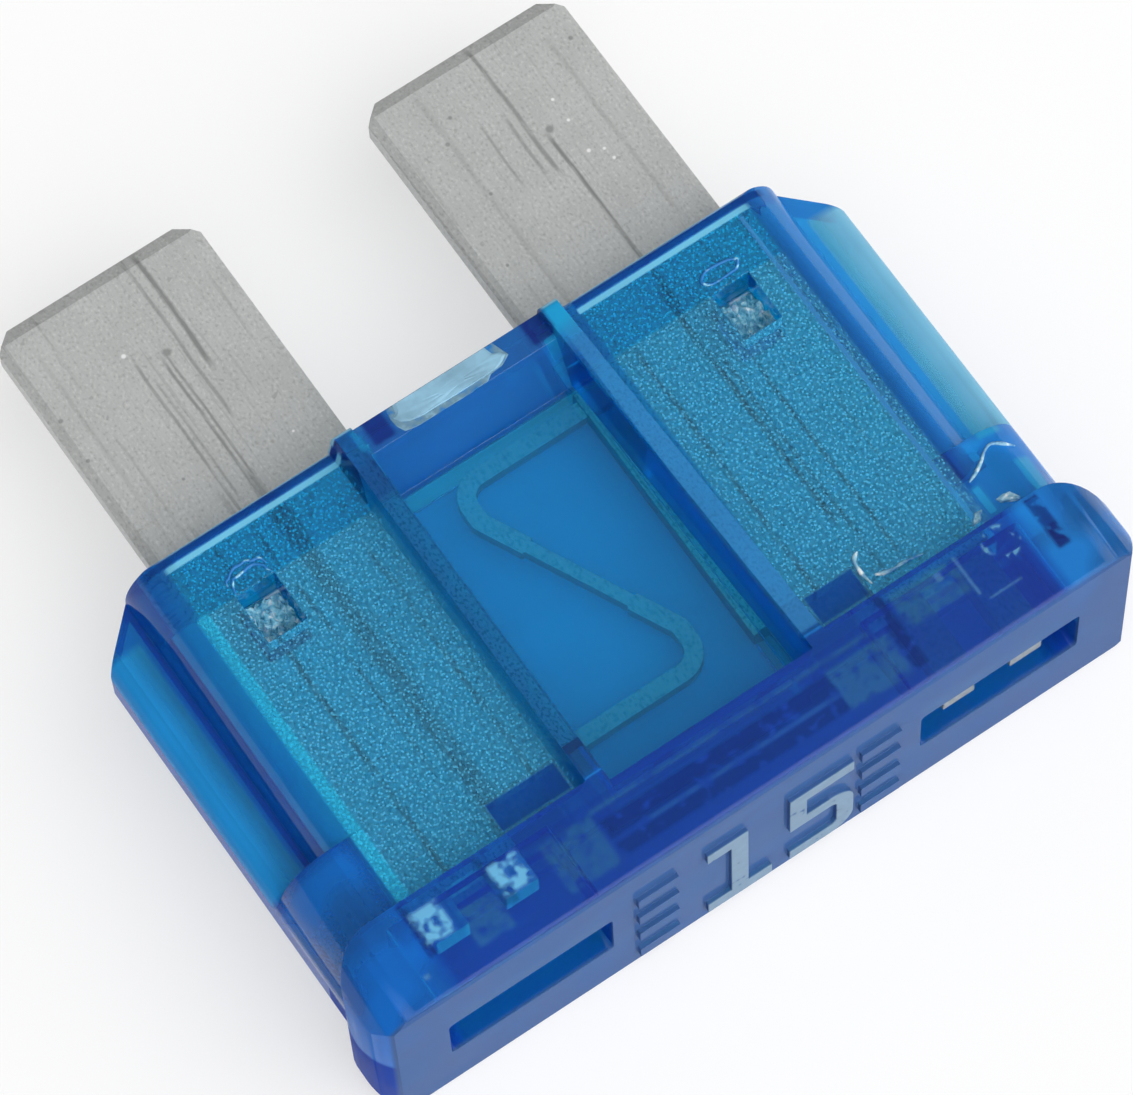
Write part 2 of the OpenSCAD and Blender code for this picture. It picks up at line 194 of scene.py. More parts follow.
# colours on the strip
BLACK, WHITE = (0.0, 0.0, 0.0), (1.0, 1.0, 1.0)
PALE_GRAIN = (0.95, 0.95, 0.93)
SPECK = (0.95, 0.95, 0.95)
MARK_UNDER_PLASTIC = (0.09, 0.12, 0.14)
GRAIN_UNDER_PLASTIC = (0.16, 0.20, 0.22)
# the link's top, and the painted shade down its sides
LINK_TOP, LINK_SIDE_SHADE = (0.02, 0.35, 0.62), (0.0, 0.05, 0.14)
IN_HEAD_SHADE = (0.03, 0.07, 0.13)
# the sides of the two left prongs, where painted highlights go, from the middle line: from, to
PRONG_EDGES = ((6.25, 6.42), (6.98, 7.2), (4.5, 4.72), (5.26, 5.45))


# ---- shader nodes ----

class Wire:
    """A socket's value, with the arithmetic that adds Math nodes."""

    def __init__(self, board, socket):
        self.board = board
        self.socket = socket

    def maths(self, operation, *values):
        return self.board.add("Math", {"operation": operation}, values)

    def __add__(self, other):
        return self.maths("ADD", self, other)

    __radd__ = __add__

    def __sub__(self, other):
        return self.maths("SUBTRACT", self, other)

    def __rsub__(self, other):
        return self.maths("SUBTRACT", other, self)

    def __mul__(self, other):
        return self.maths("MULTIPLY", self, other)

    __rmul__ = __mul__

    def most(self, other):
        return self.maths("MAXIMUM", self, other)

    def least(self, other):
        return self.maths("MINIMUM", self, other)

    def size(self):
        return self.maths("ABSOLUTE", self)


class Board:
    """The node tree of one material or world."""

    def __init__(self, owner):
        owner.use_nodes = True
        self.tree = owner.node_tree
        self.tree.nodes.clear()

    def add(self, kind, settings=None, values=None, out=0):
        node = self.tree.nodes.new("ShaderNode" + kind)
        for key, value in (settings or {}).items():
            setattr(node, key, value)
        pairs = values.items() if isinstance(values, dict) else enumerate(values or ())
        for key, value in pairs:
            if isinstance(value, Wire):
                self.tree.links.new(value.socket, node.inputs[key])
            else:
                node.inputs[key].default_value = value
        return Wire(self, node.outputs[out]) if len(node.outputs) else node

    def place(self):
        """X, Y and Z in millimetres: across, from the head's end face, and up."""
        spot = self.add("TexCoord", out="Object")
        spot = self.add("VectorMath", {"operation": "SUBTRACT"}, (spot, (0.0, END_FACE, 0.0)))
        spot = self.add("VectorMath", {"operation": "SCALE"}, {0: spot, "Scale": 1.0 / MM})
        parts = self.add("SeparateXYZ", None, (spot,))
        node = parts.socket.node
        return spot, [Wire(self, node.outputs[i]) for i in range(3)]

    def stretch(self, spot, scale):
        return self.add("VectorMath", {"operation": "MULTIPLY"}, (spot, scale))

    def noise(self, spot, scale, detail=2.0, rough=0.5):
        """Cloudy noise, with its fineness across, along and up in features a millimetre."""
        return self.add("TexNoise", None, {
            "Vector": self.stretch(spot, scale), "Scale": 1.0, "Detail": detail, "Roughness": rough})

    def rise(self, value, low, high, to_low=0.0, to_high=1.0):
        """Nought below low and one above high, even between."""
        return self.add("MapRange", None, {
            "Value": value, "From Min": low, "From Max": high, "To Min": to_low, "To Max": to_high})

    def fall(self, value, low, high):
        """One below low and nought above high."""
        return self.rise(value, low, high, 1.0, 0.0)

    def band(self, value, low, high, soft):
        """One between low and high, and nought outside."""
        half = (high - low) / 2
        return self.fall((value - (low + high) / 2).size(), half - soft, half + soft)

    def gap(self, spot, point):
        """How far each place is from the point, in millimetres."""
        return self.add("VectorMath", {"operation": "DISTANCE"}, (spot, point), out="Value")

    def spots(self, spot, places):
        """One in the middle of each of the round places, across, along and radius, and nought outside."""
        total = None
        for across, along, radius in places:
            one = self.fall(self.gap(spot, (across, along, 0.0)), radius * 0.5, radius)
            total = total.most(one) if total else one
        return total

    def boxes(self, across, along, places, soft):
        """One inside each of the rectangles, and nought outside."""
        total = 0.0
        for left, right, near, far in places:
            total = (self.band(across, left, right, soft) * self.band(along, near, far, soft)).most(total)
        return total

    def tint(self, amount, first, second):
        """The first colour at nought and the second at one."""
        factor, first_colour, second_colour, colour = 0, 6, 7, 2   # sockets of the Mix node set to colours
        return self.add("Mix", {"data_type": "RGBA", "clamp_factor": True}, {
            factor: amount, first_colour: rgba(first), second_colour: rgba(second)}, out=colour)


def rgba(colour):
    return colour if isinstance(colour, Wire) else (*tuple(colour)[:3], 1.0)


def scaled(colour, by):
    """The same colour, paler or darker."""
    return [min(part * by, 1.0) for part in colour]


def fresh_material(name):
    old = bpy.data.materials.get(name)
    if old:
        bpy.data.materials.remove(old)
    return bpy.data.materials.new(name)


# ---- meshes ----

def soft_edges(node, width, segments=2, angle=40.0):
    """Round the sharp edges of a CAD node with modifiers, and leave its mesh alone."""
    weld = node.modifiers.new("join corners", "WELD")
    weld.merge_threshold = 1e-6
    edge = node.modifiers.new("soft edges", "BEVEL")
    edge.offset_type = "WIDTH"
    edge.width = width
    edge.loop_slide = False
    edge.segments = segments
    edge.limit_method = "ANGLE"
    edge.angle_limit = math.radians(angle)
    edge.use_clamp_overlap = False
    edge.harden_normals = True
    edge.miter_outer = "MITER_ARC"


def dress(node, material):
    if not node.material_slots:
        node.data.materials.append(None)
    for slot in node.material_slots:
        slot.material = material


# ---- settings ----

class FuseHousingFinish(bpy.types.PropertyGroup):
    tint: bpy.props.FloatVectorProperty(
        name="Tint", description="Colour that the plastic passes best", subtype="COLOR",
        size=3, min=0.0, max=1.0, default=(0.0, 0.909, 0.993))
    tint_depth: bpy.props.FloatProperty(
        name="Tint depth", description="How strongly each metre of plastic takes light out",
        default=2200.0, min=0.0, max=9000.0)
    milk: bpy.props.FloatProperty(
        name="Milk", description="Share of the light that the plastic scatters back", subtype="FACTOR",
        default=0.17, min=0.0, max=1.0)
    body: bpy.props.FloatVectorProperty(
        name="Body colour", description="Colour that the plastic scatters back", subtype="COLOR",
        size=3, min=0.0, max=1.0, default=(0.004, 0.15, 0.74))
    milk_panel: bpy.props.FloatProperty(
        name="Frost of the panels", description="Share that the panels over the blades scatter back",
        subtype="FACTOR", default=0.07, min=0.0, max=1.0)
    frost: bpy.props.FloatVectorProperty(
        name="Frost colour", description="Colour that the panels over the blades scatter back",
        subtype="COLOR", size=3, min=0.0, max=1.0, default=(0.125, 0.60, 0.94))
    milk_window: bpy.props.FloatProperty(
        name="Milk of the window", description="Share that the face under the link scatters back",
        subtype="FACTOR", default=0.97, min=0.0, max=1.0)
    window_body: bpy.props.FloatVectorProperty(
        name="Window colour", description="Colour that the face under the link scatters back",
        subtype="COLOR", size=3, min=0.0, max=1.0, default=(0.02, 0.47, 1.0))
    milk_end: bpy.props.FloatProperty(
        name="Milk of the end face", description="Share that the head's matt end face scatters back",
        subtype="FACTOR", default=0.75, min=0.0, max=1.0)
    end_body: bpy.props.FloatVectorProperty(
        name="End face colour", description="Colour that the head's matt end face scatters back",
        subtype="COLOR", size=3, min=0.0, max=1.0, default=(0.052, 0.122, 0.31))
    milk_side: bpy.props.FloatProperty(
        name="Milk of the sides", description="Share that the flanges and the long sides scatter back",
        subtype="FACTOR", default=0.52, min=0.0, max=1.0)
    side_body: bpy.props.FloatVectorProperty(
        name="Side colour", description="Colour that the flanges and the long sides scatter back",
        subtype="COLOR", size=3, min=0.0, max=1.0, default=(0.005, 0.105, 0.56))
    refraction: bpy.props.FloatProperty(
        name="Refraction", description="Refractive index of the plastic", default=1.58, min=1.0, max=2.0)
    gloss: bpy.props.FloatProperty(
        name="Surface haze", description="Roughness of the polished faces", subtype="FACTOR",
        default=0.03, min=0.0, max=1.0)
    edge: bpy.props.FloatProperty(
        name="Soft edge", description="Width of the small rounds along the moulding's edges",
        unit="LENGTH", default=0.02 * MM, min=0.0, max=0.2 * MM)
    paint: bpy.props.FloatVectorProperty(
        name="Figure paint", description="Colour of the paint on the rating", subtype="COLOR",
        size=3, min=0.0, max=1.0, default=(0.14, 0.235, 0.345))


class FuseMarks(bpy.types.PropertyGroup):
    shade: bpy.props.FloatVectorProperty(
        name="Shade", description="Colour deep in the crushed plastic", subtype="COLOR",
        size=3, min=0.0, max=1.0, default=(0.05, 0.34, 0.52))
    crushed: bpy.props.FloatVectorProperty(
        name="Crushed plastic", description="Middle colour of the crushed plastic", subtype="COLOR",
        size=3, min=0.0, max=1.0, default=(0.34, 0.72, 0.86))
    bright: bpy.props.FloatVectorProperty(
        name="Bright facets", description="Colour of the whitest facets", subtype="COLOR",
        size=3, min=0.0, max=1.0, default=(0.92, 0.97, 1.0))
    torn: bpy.props.FloatVectorProperty(
        name="Torn plastic", description="Colour of the torn ridges", subtype="COLOR",
        size=3, min=0.0, max=1.0, default=(0.01, 0.17, 0.48))
    flash: bpy.props.FloatVectorProperty(
        name="Flash", description="Colour of the thin slivers beside the head", subtype="COLOR",
        size=3, min=0.0, max=1.0, default=(0.28, 0.54, 0.68))
    gate: bpy.props.FloatVectorProperty(
        name="Gate scar", description="Colour of the scar on the cross bar", subtype="COLOR",
        size=3, min=0.0, max=1.0, default=(0.24, 0.45, 0.60))
    crumb_height: bpy.props.FloatProperty(
        name="Crumb height", description="Height of the tallest crumb in a punch mark", unit="LENGTH",
        default=0.62 * MM, min=0.0, max=0.8 * MM)
    ridge: bpy.props.FloatProperty(
        name="Torn ridge", description="Radius of the torn ridges past a punch mark", unit="LENGTH",
        default=0.04 * MM, min=0.0, max=0.1 * MM)


class FuseElementFinish(bpy.types.PropertyGroup):
    metal: bpy.props.FloatVectorProperty(
        name="Metal", description="Colour of the plated strip", subtype="COLOR",
        size=3, min=0.0, max=1.0, default=(0.60, 0.615, 0.605))
    # inside the housing the strip is painted paler than the bare blades, as painted light that shows
    # through the plastic
    lit_housed_metal: bpy.props.FloatVectorProperty(
        name="Metal in the housing", description="Colour of the strip where the plastic has kept it bright",
        subtype="COLOR", size=3, min=0.0, max=1.0, default=(0.88, 0.90, 0.88))
    grain: bpy.props.FloatProperty(
        name="Rolling grain", description="Strength of the fine lines along the strip", subtype="FACTOR",
        default=0.5, min=0.0, max=1.0)
    roughness: bpy.props.FloatProperty(
        name="Roughness", description="Roughness of the plated strip", subtype="FACTOR",
        default=0.5, min=0.0, max=1.0)
    edge: bpy.props.FloatProperty(
        name="Soft edge", description="Width of the small rounds along the stamped edges",
        unit="LENGTH", default=0.03 * MM, min=0.0, max=0.2 * MM)


class FuseStage(bpy.types.PropertyGroup):
    floor: bpy.props.FloatVectorProperty(
        name="Floor", description="Colour of the floor", subtype="COLOR",
        size=3, min=0.0, max=1.0, default=(0.96, 0.96, 0.96))
    floor_size: bpy.props.FloatProperty(
        name="Floor size", description="Width of the square floor", unit="LENGTH",
        default=3.0, min=0.1, max=20.0)
    shadow: bpy.props.FloatProperty(
        name="Shadow", description="How deep the part's shadow looks on the floor", subtype="FACTOR",
        default=0.45, min=0.0, max=1.0)
    shadow_through: bpy.props.FloatProperty(
        name="Shadow through plastic", description="How deep that shadow looks through the clear plastic",
        subtype="FACTOR", default=0.92, min=0.0, max=1.0)
    sky: bpy.props.FloatProperty(
        name="Sky", description="Strength of the dim light from all round", default=0.25, min=0.0, max=3.0)
    soft_box: bpy.props.FloatProperty(
        name="Soft box", description="Strength of the wide soft light at the middle of it",
        default=2.6, min=0.0, max=9.0)
    azimuth: bpy.props.FloatProperty(
        name="Azimuth", description="Camera's turn round the part, from its end face", subtype="ANGLE",
        default=math.radians(-30.573))
    elevation: bpy.props.FloatProperty(
        name="Elevation", description="Camera's height above the floor", subtype="ANGLE",
        default=math.radians(67.161))
    roll: bpy.props.FloatProperty(
        name="Roll", description="Camera's lean about its own axis", subtype="ANGLE",
        default=math.radians(-4.011))
    distance: bpy.props.FloatProperty(
        name="Distance", description="From the camera to its aim", unit="LENGTH",
        default=140.325 * MM, min=0.01)
    lens: bpy.props.FloatProperty(
        name="Lens", description="Focal length on a 36 mm frame", unit="CAMERA", default=212.44, min=10.0)
    aim: bpy.props.FloatVectorProperty(
        name="Aim", description="What the camera looks at, from the middle of the part", subtype="XYZ",
        unit="LENGTH", size=3, default=(0.280 * MM, -1.409 * MM, -0.432 * MM))


# ---- housing ----

class Moulding:
    """Places on the housing and its slow noises, which the layers of the plastic share."""

    def __init__(self, board):
        self.board = board
        self.spot, (self.across, self.along, self.up) = board.place()
        self.side = self.across.size()
        self.off_middle = (self.up - MID_T).size()
        self.middle = board.fall(self.side, 2.40, 2.46)
        self.on_right = board.rise(self.across, -1.0, 1.0)
        self.outer = board.rise(self.side, 7.35, 7.75)
        self.on_panel = board.rise(self.off_middle, 1.8, 1.9)
        self.above = board.rise(self.up, MID_T + 0.2, MID_T + 0.4)
        self.upper = board.rise(self.up, 4.15, 4.3)
        self.cloud = board.noise(self.spot, (0.6, 0.6, 0.6), detail=1.0)
        self.ripped = board.noise(self.spot, (4.0, 4.0, 4.0), detail=1.0)

    def chamber(self):
        """The matt inner faces that close on the metal and on the link."""
        flat = self.board.fall(self.off_middle, 0.52, 0.56) * self.board.fall(self.side, 7.45, 7.5)
        return flat * self.board.band(self.along, 1.7, 10.3, 0.02)

    def punched(self):
        """The punch marks, crushed where the plastic was driven into the blades, but for the far wall."""
        pit = self.board.band(self.side, STAKE_X - 0.56, STAKE_X + 0.56, 0.04)
        pit = pit * self.board.band(self.along, STAKE_Y - 0.70, STAKE_Y + 0.60, 0.01)
        return pit * self.board.band(self.up, 3.3, PIT_FLOOR + 0.06, 0.02)


def panel_layers(mould, finish):
    """The frosted panels over the blades with painted sparkle, painted shade over the notches at their head
    ends, and a painted highlight along the left one's outer rim.
    """
    board, along = mould.board, mould.along
    # painted sparkle: fine glitter and dots that raise the frost in specks
    glitter = board.noise(mould.spot, (15.0, 12.0, 15.0), detail=1.0, rough=0.8)
    glitter = board.rise(glitter, 0.35, 0.65)
    cells = board.add("TexVoronoi", {"voronoi_dimensions": "2D"}, {"Vector": mould.spot, "Scale": 10.0})
    dots = board.fall(cells, 0.14, 0.30)
    panel = board.band(mould.side, 3.0, 7.3, 0.04) * board.band(along, 2.4, 11.2, 0.04) * mould.on_panel
    past_metal = board.rise(along, 9.88, 9.92)
    # painted shade over the notches where the strip stops short under the panels
    notch = board.boxes(mould.across, along, NOTCHES, 0.03) * mould.on_panel
    # a painted highlight along the left panel's outer rim
    rim = board.band(mould.across, -7.40, -7.10, 0.03) * board.band(along, 2.45, 9.93, 0.03)
    return (
        (panel, glitter * 0.16 + dots * 0.42 + finish.milk_panel,
         board.tint(past_metal, finish.frost, FROST_PAST_METAL)),
        (notch, *COATS["notch"]),
        (rim * mould.on_panel, dots * 0.40 + glitter * 0.2 + 0.25, LEFT_RIM_HIGHLIGHT),
    )


def window_layers(mould, finish):
    """The face seen under the link, and the cross bar at the blade end of the window."""
    board, along, up = mould.board, mould.along, mould.up
    under_link = mould.middle * board.band(along, 2.0, 10.2, 0.05)
    under_link = under_link * board.band(up, MID_T - 0.56, MID_T - 0.44, 0.02)
    bar = mould.middle * board.rise(along, 10.1, 10.3) * board.rise(up, 3.5, 3.7)
    return (under_link, finish.milk_window, finish.window_body), (bar, *COATS["bar"])


def side_layers(mould, finish):
    """The long sides with their flanges and shoulders, the right ones painted paler as lit from the right,
    a painted highlight along the right panel's edge, and the head between them.
    """
    board, along, up = mould.board, mould.along, mould.up
    lip = board.band(along, 1.96, 2.3, 0.04) * board.rise(up, 4.95, 5.05)
    head = board.fall(along, 2.25, 2.3)
    # a painted highlight along the right panel's edge, where its flat top meets the rounded side
    edge_highlight = board.band(mould.across, 6.97, 7.07, 0.02) * board.band(along, 2.6, 11.1, 0.05)
    flange = board.rise(mould.side, 8.40, 8.50) * board.band(along, 4.3, 10.6, 0.1) * mould.above
    shoulder = mould.outer * board.fall(along, 3.9, 4.2) * mould.above
    return (
        (lip, *COATS["lip"]),
        # the right side, flange and shoulder are painted paler than the left, as lit from the right
        (mould.outer, finish.milk_side, board.tint(mould.on_right, finish.side_body, RIGHT_SIDE_LIT)),
        (head, mould.outer * 0.55 + 0.30, board.tint(mould.outer, *HEAD_TONES)),
        (edge_highlight * board.rise(up, 4.3, 4.4), *COATS["edge highlight"]),
        (flange, board.rise(mould.side, 8.5, 9.1, 0.20, 0.80), board.tint(mould.on_right, *FLANGE_TONES_LIT_RIGHT)),
        (shoulder, board.rise(mould.cloud, 0.4, 0.6, 0.30, 0.60),
         board.tint(mould.on_right, *SHOULDER_TONES_LIT_RIGHT)),
    )


def rib_layers(mould):
    """The walls of the window, and the tops of its two ribs, the right one painted paler as lit from the
    right.
    """
    board, along, up = mould.board, mould.along, mould.up
    pane = mould.middle * board.band(along, 2.35, 10.1, 0.03) * board.band(up, 3.3, 4.1, 0.05)
    top = board.band(mould.side, 2.35, 3.02, 0.02) * board.band(along, 2.4, 11.4, 0.03)
    return (
        (pane, *COATS["pane"]),
        # the right rib's top is painted paler than the left's, as lit from the right
        (top * board.rise(up, 4.80, 4.85), mould.on_right * 0.25 + 0.15,
         board.tint(mould.on_right, *RIB_TONES_LIT_RIGHT)),
    )


def head_layers(mould, finish):
    """Painted light, shade and highlights on the top of the head for what shows through it, with painted
    glints, the chips beside it, and its matt end face.
    """
    board, across, along, ripped = mould.board, mould.across, mould.along, mould.ripped
    top = board.rise(mould.up, 5.02, 5.06) * board.fall(along, 2.25, 2.3)
    # painted light and painted shade on the head's top, standing for what shows through it
    pale = board.boxes(across, along, HEAD_LIT_PATCHES, 0.05) * top * board.rise(ripped, 0.30, 0.55)
    dark = board.boxes(across, along, HEAD_SHADE_PATCHES, 0.05) * top * board.rise(ripped, 0.25, 0.45)
    # the ejector pin's ring is a real mark, painted pale together with the painted highlights
    pin = board.gap(mould.spot, (*EJECTOR[:2], HOUSING_TOP))
    ring = board.fall((pin - EJECTOR[2]).size(), 0.03, 0.09) * board.rise(ripped, 0.48, 0.56)
    bright = (board.boxes(across, along, HEAD_HIGHLIGHTS, 0.03) * 0.5).most(ring) * top
    glints = board.boxes(across, along, GLINTS, 0.06) * top * board.rise(ripped, 0.36, 0.60)
    chips = board.boxes(across, along, CHIPS, 0.05) * mould.above
    return (
        (dark, *COATS["head shade patch"]),
        (pale, *COATS["head lit patch"]),
        (bright, *COATS["head highlight and pin ring"]),
        (chips, *COATS["chip"]),
        (glints, *COATS["glint"]),
        (board.fall(along, 0.03, 0.12), finish.milk_end, finish.end_body),
    )


def blade_end_layers(mould):
    """Painted highlight lines and a painted shade line in navy along the blade end, and the ends of the two
    ribs with painted highlights.
    """
    board, across, along, side, up = mould.board, mould.across, mould.along, mould.side, mould.up
    past_ribs = mould.upper * board.rise(side, 2.95, 3.0)
    on_panels = past_ribs * board.fall(side, 7.25, 7.4)
    # a painted highlight on the right rib's end wall
    rib_end = board.band(across, 1.95, 2.75, 0.05) * board.rise(along, 10.4, 11.0)
    left_rib_end = board.band(across, -2.62, -2.36, 0.04) * board.band(along, 10.85, 11.45, 0.1)
    # painted highlights on the caps at the ribs' ends
    rib_cap_highlight = board.band(side, 2.0, 3.1, 0.03) * board.rise(along, 11.42, 11.47)
    beside_gate = board.band(side, 1.72, 2.25, 0.06) * board.rise(along, 10.9, 11.0)
    return (
        # painted highlight lines either side of a painted shade line, along the blade end's edge
        (on_panels * board.band(along, 11.13, 11.27, 0.02), *COATS["near highlight line"]),
        (past_ribs * board.band(along, 11.29, 11.47, 0.02), *COATS["navy shade line"]),
        (on_panels * board.rise(along, 11.48, 11.5), *COATS["far highlight line"]),
        (rib_end * board.rise(up, 3.7, 3.9), *COATS["rib end"]),
        (left_rib_end * mould.upper, *COATS["left rib end"]),
        (rib_cap_highlight * board.rise(up, 4.75, 4.85), *COATS["rib cap highlight"]),
        (beside_gate * board.rise(up, 4.6, 4.7), *COATS["beside gate"]),
    )


def rating_paint(mould, finish):
    """The worn paint on the raised figures: where it sits, and its shader."""
    board = mould.board
    raised = board.fall(mould.along, -0.105, -0.085) * board.band(mould.across, -1.62, 2.12, 0.02)
    tone = board.tint(mould.ripped, scaled(finish.paint, 0.85), scaled(finish.paint, 1.15))
    paint = board.add("BsdfPrincipled", None, {"Base Color": tone, "Roughness": 0.5, "IOR": 1.5})
    return raised * board.rise(mould.ripped, 0.22, 0.34), paint


def plastic_material(finish):
    """Clear plastic, mixed region by region with a body that scatters its own colour back."""
    material = fresh_material("blue polycarbonate")
    board = Board(material)
    mould = Moulding(board)
    inner, crushed = mould.chamber(), mould.punched()

    roughness = finish.gloss * (mould.cloud * 0.8 + 0.6)
    roughness = roughness + inner * (1 - mould.middle) * 0.12 + crushed * 0.3
    ripple = board.noise(mould.spot, (0.9, 0.45, 0.9), detail=0.0)
    normal = board.add("Bump", None, {"Strength": 0.6, "Distance": 0.012 * MM, "Height": ripple})
    glass = board.add("BsdfPrincipled", None, {
        "Base Color": (1.0, 1.0, 1.0, 1.0), "Roughness": roughness, "IOR": finish.refraction,
        "Transmission Weight": 1.0, "Normal": normal})

    # each layer has a region, how much that region scatters back, and in what colour
    white = board.rise(mould.ripped, 0.46, 0.56)
    layers = (
        *panel_layers(mould, finish),
        *window_layers(mould, finish),
        *side_layers(mould, finish),
        *rib_layers(mould),
        *head_layers(mould, finish),
        *blade_end_layers(mould),
        (crushed, 0.55 + white * 0.4, board.tint(white, *CRUSHED_TONES)),
    )
    milk = finish.milk * (1 - inner)
    tone = board.tint(mould.cloud, scaled(finish.body, 0.8), scaled(finish.body, 1.25))
    for mask, share, colour in layers:
        milk = milk + (share - milk) * mask
        tone = board.tint(mask, tone, colour)
    body = board.add("BsdfPrincipled", None, {
        "Base Color": tone, "Roughness": roughness, "Specular IOR Level": 0.0, "Normal": normal})
    plastic = board.add("MixShader", None, (milk * (mould.cloud * 0.3 + 0.85), glass, body))
    painted, paint = rating_paint(mould, finish)
    surface = board.add("MixShader", None, (painted, plastic, paint))
    depth = board.add("VolumeAbsorption", None, {"Color": rgba(finish.tint), "Density": finish.tint_depth})
    board.add("OutputMaterial", None, {"Surface": surface, "Volume": depth})
    return material


class FUSE_OT_housing(bpy.types.Operator):
    """Give the moulded housing its blue plastic, its paint and its soft edges"""
    bl_idname = "fuse.housing"
    bl_label = "Finish housing"

    def execute(self, context):
        finish = context.scene.fuse_housing
        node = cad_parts["housing"]
        dress(node, plastic_material(finish))
        soft_edges(node, finish.edge)
        return {"FINISHED"}


# ---- marks on the housing: punch marks, gate scar, flash ----

def scrap_material(name, low, high, bright, size):
    """Torn and crushed plastic, which scatters light where the moulded faces are clear."""
    material = fresh_material(name)
    board = Board(material)
    spot = board.place()[0]
    grain = board.noise(spot, (size, size, size), detail=3.0, rough=0.6)
    fine = board.noise(spot, (size * 3, size * 3, size * 3), detail=2.0)
    tone = board.tint(board.rise(grain, 0.34, 0.52), low, high)
    tone = board.tint(board.rise(grain, 0.54, 0.66), tone, bright)
    normal = board.add("Bump", None, {
        "Strength": 0.7, "Distance": 0.01 * MM, "Height": grain + fine * 0.4})
    scrap = board.add("BsdfPrincipled", None, {
        "Base Color": tone, "Roughness": fine * 0.3 + 0.35, "IOR": 1.45, "Normal": normal})
    board.add("OutputMaterial", None, {"Surface": scrap})
    return material


def new_piece(name, mesh, material, body="root"):
    mesh.materials.append(material)
    piece = bpy.data.objects.new(name, mesh)
    bpy.context.scene.collection.objects.link(piece)
    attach(piece, body)
    return piece


def finished(name, shape, material):
    """Turn a closed bmesh into a piece."""
    bmesh.ops.recalc_face_normals(shape, faces=shape.faces)
    mesh = bpy.data.meshes.new(name)
    shape.to_mesh(mesh)
    shape.free()
    return new_piece(name, mesh, material)


def in_frame(x, y, z):
    """Across, along from the end face and up, in millimetres, to the part's own frame."""
    return Vector((x * MM, y * MM + END_FACE, z * MM))


def solid_patch(name, outline, bottom, thickness, material, dice, rough, inset=0.06):
    """A thin closed patch on a face: an outline with a rounded, uneven top."""
    shape = bmesh.new()
    middle = sum((Vector(point) for point in outline), Vector((0.0, 0.0))) / len(outline)
    rings = []
    # rings from the foot up and inwards: share of the outline's size, and share of the thickness
    for share, level in ((1.0, 0.0), (1.0, 0.45), (1.0 - inset, 1.0), (0.6, 1.0), (0.25, 1.0)):
        ring = []
        for point in outline:
            at = middle + (Vector(point) - middle) * share
            uneven = dice.uniform(-rough, rough) if level == 1.0 else 0.0
            lift = thickness * level * (1.0 + uneven)
            ring.append(shape.verts.new(in_frame(at.x, at.y, bottom + lift)))
        rings.append(ring)
    count = len(outline)
    for lower, upper in zip(rings, rings[1:]):
        for i in range(count):
            j = (i + 1) % count
            shape.faces.new((lower[i], lower[j], upper[j], upper[i]))
    shape.faces.new(rings[-1])
    shape.faces.new(list(reversed(rings[0])))
    return finished(name, shape, material)


def crumb_bed(name, x, y, half_w, half_l, floor, high, material, dice, cells=13):
    """The crushed plastic in a punch mark: a closed bed with a jagged top, highest at the head's end."""
    stray = 0.3 / cells       # how far an inner crumb may stray from its place in the grid
    lowest, far_end = 0.15, 0.45   # the smallest crumb, and how high the bed still is at its far end
    shape = bmesh.new()
    top, low = {}, {}
    for i in range(cells + 1):
        for j in range(cells + 1):
            u, v = i / cells, j / cells
            rim = min(i, j, cells - i, cells - j) == 0
            shift = 0.0 if rim else stray
            px = x + half_w * (2 * u - 1 + dice.uniform(-shift, shift) * 2)
            py = y + half_l * (2 * v - 1 + dice.uniform(-shift, shift) * 2)
            rise = lowest + (1 - lowest) * dice.random() ** 1.6
            rise *= 1.0 - (1 - far_end) * v
            top[i, j] = shape.verts.new(in_frame(px, py, floor + 0.02 + high * rise))
            low[i, j] = shape.verts.new(in_frame(px, py, floor + 0.005))
    for i in range(cells):
        for j in range(cells):
            corners = [(i, j), (i + 1, j), (i + 1, j + 1), (i, j + 1)]
            if dice.random() < 0.5:
                corners = corners[1:] + corners[:1]
            a, b, c, d = (top[k] for k in corners)
            shape.faces.new((a, b, c))
            shape.faces.new((a, c, d))
            shape.faces.new([low[k] for k in reversed([(i, j), (i + 1, j), (i + 1, j + 1), (i, j + 1)])])
    for i in range(cells):
        for a, b in (((i, 0), (i + 1, 0)), ((cells, i), (cells, i + 1)),
                     ((cells - i, cells), (cells - i - 1, cells)), ((0, cells - i), (0, cells - i - 1))):
            shape.faces.new((top[b], top[a], low[a], low[b]))
    return finished(name, shape, material)


def thread(name, points, radius, material, dice, closed=False):
    """A torn thread of plastic along a few points, uneven in width and bent between them."""
    path = bpy.data.curves.new(name, "CURVE")
    path.dimensions = "3D"
    path.bevel_depth = radius * MM
    path.bevel_resolution = 2
    path.use_fill_caps = True
    spline = path.splines.new("NURBS")
    spline.points.add(len(points) - 1)
    spline.order_u = 3
    spline.use_endpoint_u = True
    spline.use_cyclic_u = closed
    for point, (x, y, z) in zip(spline.points, points):
        point.co = (*in_frame(x, y, z), 1.0)
        point.radius = dice.uniform(0.6, 1.25)
    if not closed:
        spline.points[0].radius = spline.points[-1].radius = 0.35
    return new_piece(name, path, material)


